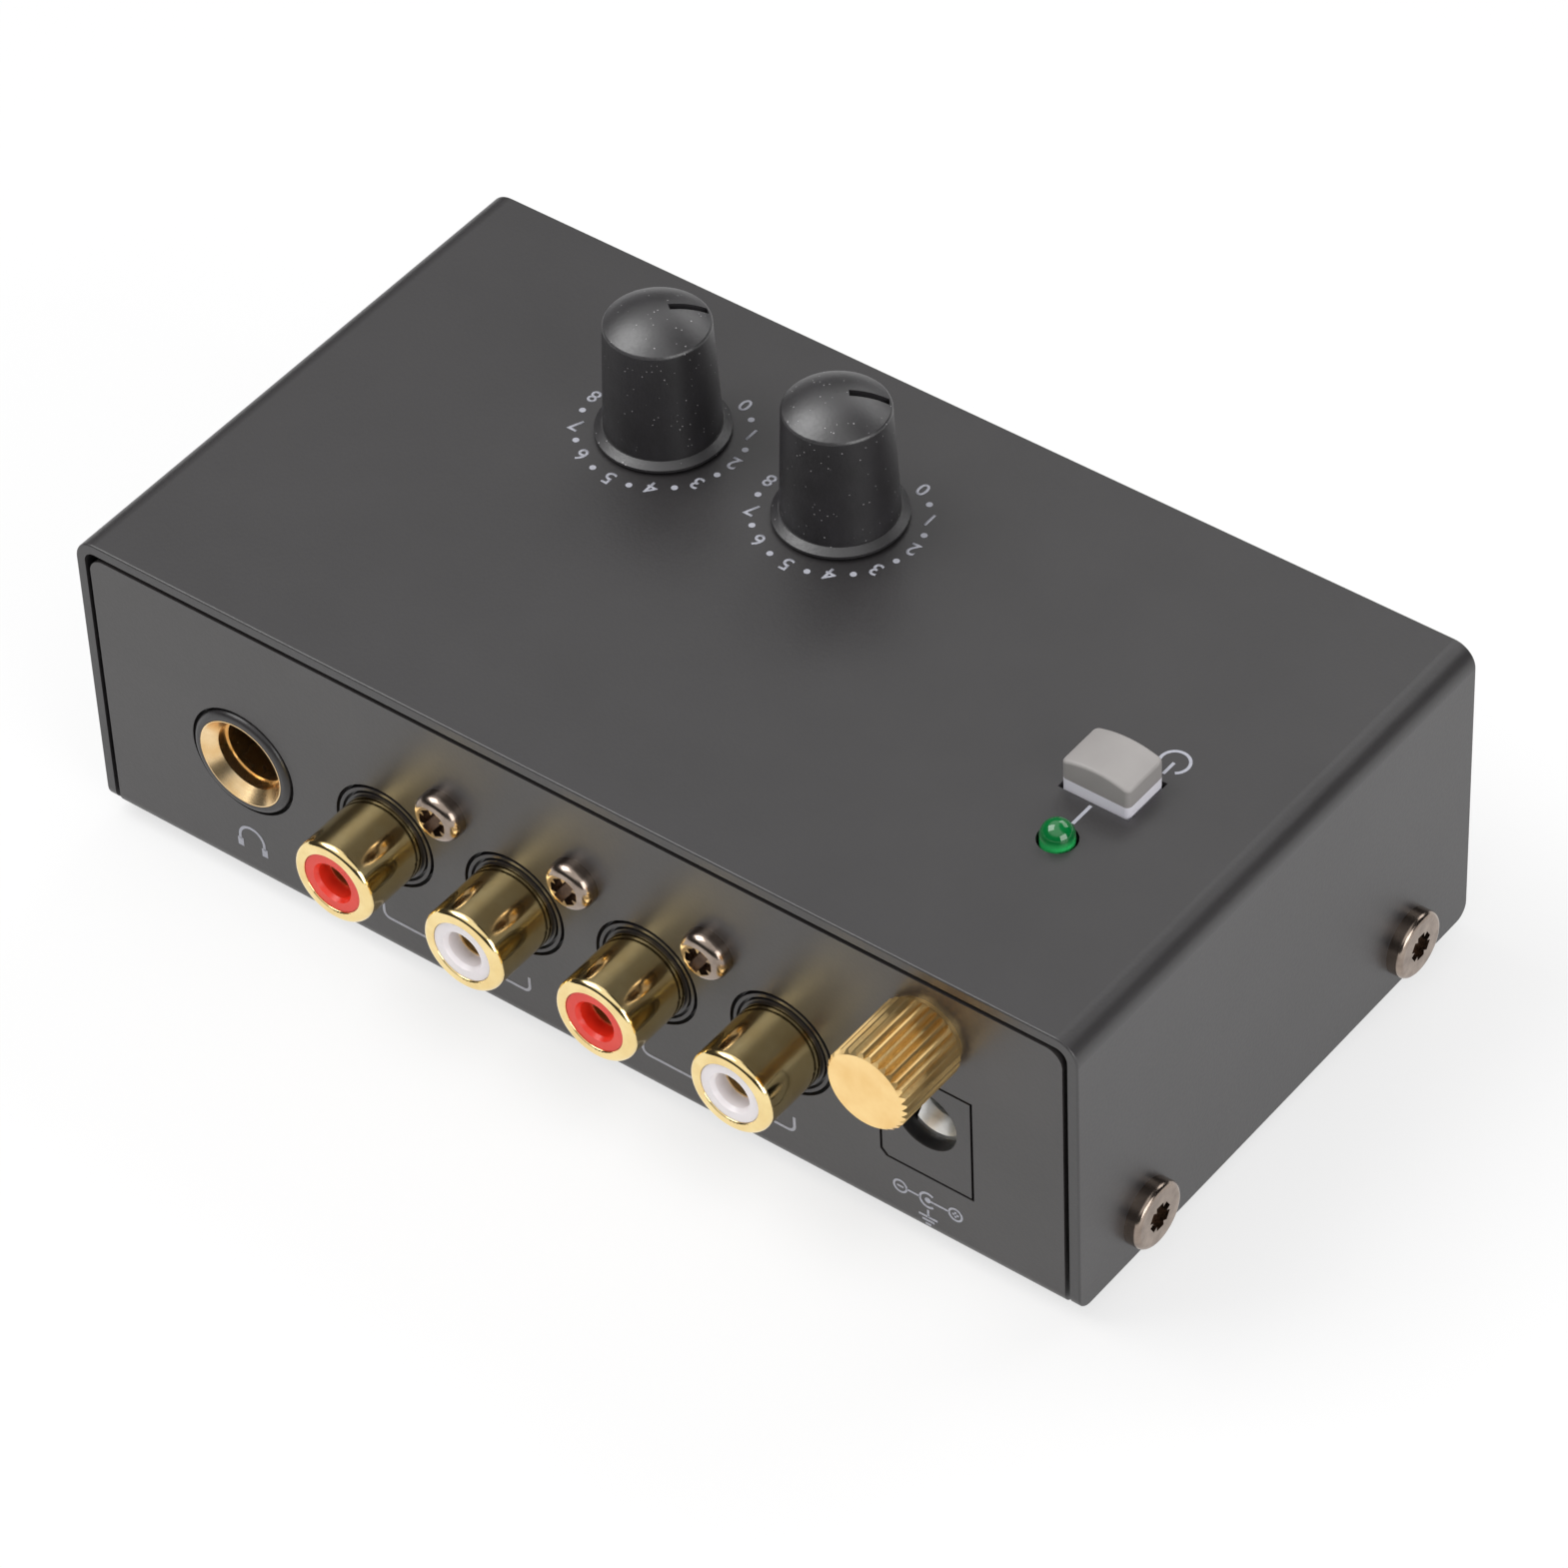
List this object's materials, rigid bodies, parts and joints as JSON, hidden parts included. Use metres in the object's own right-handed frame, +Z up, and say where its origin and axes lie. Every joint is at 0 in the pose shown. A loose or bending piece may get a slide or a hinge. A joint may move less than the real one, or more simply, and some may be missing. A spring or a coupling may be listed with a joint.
{
  "type": "phono preamp",
  "caption": "Small desktop phono preamp in a folded steel case, with phono and jack sockets, a power inlet, a ground post, two knobs and a power button.",
  "frame": {"origin": "centre of the overall footprint at the underside of the rubber feet", "axes": "+X along the case towards the power inlet, -Y out of the connector panel, +Z up"},
  "size_m": [0.1072, 0.0646, 0.0458],
  "materials": {
    "cover_coat": "fine satin powder coat",
    "panel_coat": "fine satin powder coat",
    "foot_rubber": "moulded rubber",
    "screw_nickel": "nickel plated steel",
    "standoff_steel": "zinc plated steel",
    "board_laminate": "solder mask on glass laminate",
    "socket_plastic": "moulded black plastic",
    "jack_plastic": "moulded grey plastic",
    "inlet_plastic": "moulded grey plastic",
    "gilt_brass": "turned brass, gold plated",
    "ferrule_gilt": "turned brass, gold plated over a brushed bevel",
    "insulator_red": "moulded red plastic",
    "insulator_white": "moulded white plastic",
    "contact_gilt": "stamped brass, gold plated",
    "contact_silver": "stamped bronze, tin plated",
    "ground_brass": "turned brass, gold plated, straight knurl",
    "pot_case": "stamped steel",
    "bushing_zinc": "die-cast zinc",
    "shaft_aluminium": "turned aluminium",
    "knob_rubber": "soft black moulding",
    "knob_core": "moulded plastic core",
    "switch_plastic": "moulded black plastic",
    "plunger_plastic": "moulded natural plastic",
    "button_white": "moulded white plastic",
    "button_grey": "moulded grey plastic",
    "spring_steel": "spring wire",
    "lamp_green": "clear green resin",
    "lead_tin": "tinned wire",
    "spacer_plastic": "moulded black plastic",
    "chip_plastic": "moulded epoxy",
    "can_sleeve": "shrink sleeve",
    "film_box": "potted plastic box",
    "resistor_coat": "lacquered body",
    "regulator_plastic": "moulded epoxy and tinned copper tab"
  },
  "bodies": {
    "case": {"cover": "cover_coat", "base_tray": "panel_coat", "rubber_feet": "foot_rubber", "side_screws": "screw_nickel", "panel_screws": "screw_nickel", "board_screws": "screw_nickel", "board_standoffs": "standoff_steel", "circuit_board": "board_laminate", "rca_housing": "socket_plastic", "jack_body": "jack_plastic", "jack_ferrule": "ferrule_gilt", "jack_ring_spring": "contact_silver", "jack_tip_spring": "contact_silver", "dc_inlet_body": "inlet_plastic", "dc_inlet_pin": "contact_silver", "dc_inlet_spring": "contact_silver", "ground_stud": "ground_brass", "ground_strap": "contact_silver", "switch_body": "switch_plastic", "switch_spring": "spring_steel", "power_lamp": "lamp_green", "lamp_leads": "lead_tin", "lamp_spacer": "spacer_plastic", "amplifier_chip_1": "chip_plastic", "amplifier_chip_2": "chip_plastic", "electrolytic_1": "can_sleeve", "electrolytic_2": "can_sleeve", "electrolytic_3": "can_sleeve", "film_capacitor_1": "film_box", "film_capacitor_2": "film_box", "resistors": "resistor_coat", "voltage_regulator": "regulator_plastic", "rca_shell_1": "gilt_brass", "rca_insulator_1": "insulator_red", "rca_contact_1": "contact_gilt", "rca_shell_2": "gilt_brass", "rca_insulator_2": "insulator_white", "rca_contact_2": "contact_gilt", "rca_shell_3": "gilt_brass", "rca_insulator_3": "insulator_red", "rca_contact_3": "contact_gilt", "rca_shell_4": "gilt_brass", "rca_insulator_4": "insulator_white", "rca_contact_4": "contact_gilt", "volume_pot_body": "pot_case", "volume_bushing": "bushing_zinc", "level_pot_body": "pot_case", "level_bushing": "bushing_zinc"},
    "volume_control": {"volume_knob": "knob_rubber", "volume_knob_insert": "knob_core", "volume_shaft": "shaft_aluminium"},
    "level_control": {"level_knob": "knob_rubber", "level_knob_insert": "knob_core", "level_shaft": "shaft_aluminium"},
    "power_button": {"button_cap": "button_grey", "button_base": "button_white", "switch_plunger": "plunger_plastic"},
    "washer": {"ground_washer": "ground_brass"},
    "thumb_nut": {"ground_nut": "ground_brass"}
  },
  "joints": [
    {"name": "volume_turn", "type": "hinge", "parent": "case", "child": "volume_control", "pos_m": [-0.0197, 0.0154, 0.0322], "axis": [0, 0, 1], "range_deg": [-292, 8]},
    {"name": "level_turn", "type": "hinge", "parent": "case", "child": "level_control", "pos_m": [-0.0007, 0.0154, 0.0322], "axis": [0, 0, 1], "range_deg": [-281, 19]},
    {"name": "power_press", "type": "slide", "parent": "case", "child": "power_button", "axis": [0, 0, -1], "range_m": [0, 0.0022], "stiffness_N_per_m": 400, "springref_m": -0.002, "deforming": ["switch_spring"]},
    {"name": "washer_slide", "type": "slide", "parent": "case", "child": "washer", "axis": [0, -1, 0], "range_m": [0, 0.0035]},
    {"name": "nut_turn", "type": "hinge", "parent": "washer", "child": "thumb_nut", "pos_m": [0.0374, -0.02415, 0.0255], "axis": [0, -1, 0], "range_deg": [0, 1801]}
  ],
  "couplings": [
    {"joint": "nut_turn", "follows": "washer_slide", "rad_per_m": 8976}
  ]
}
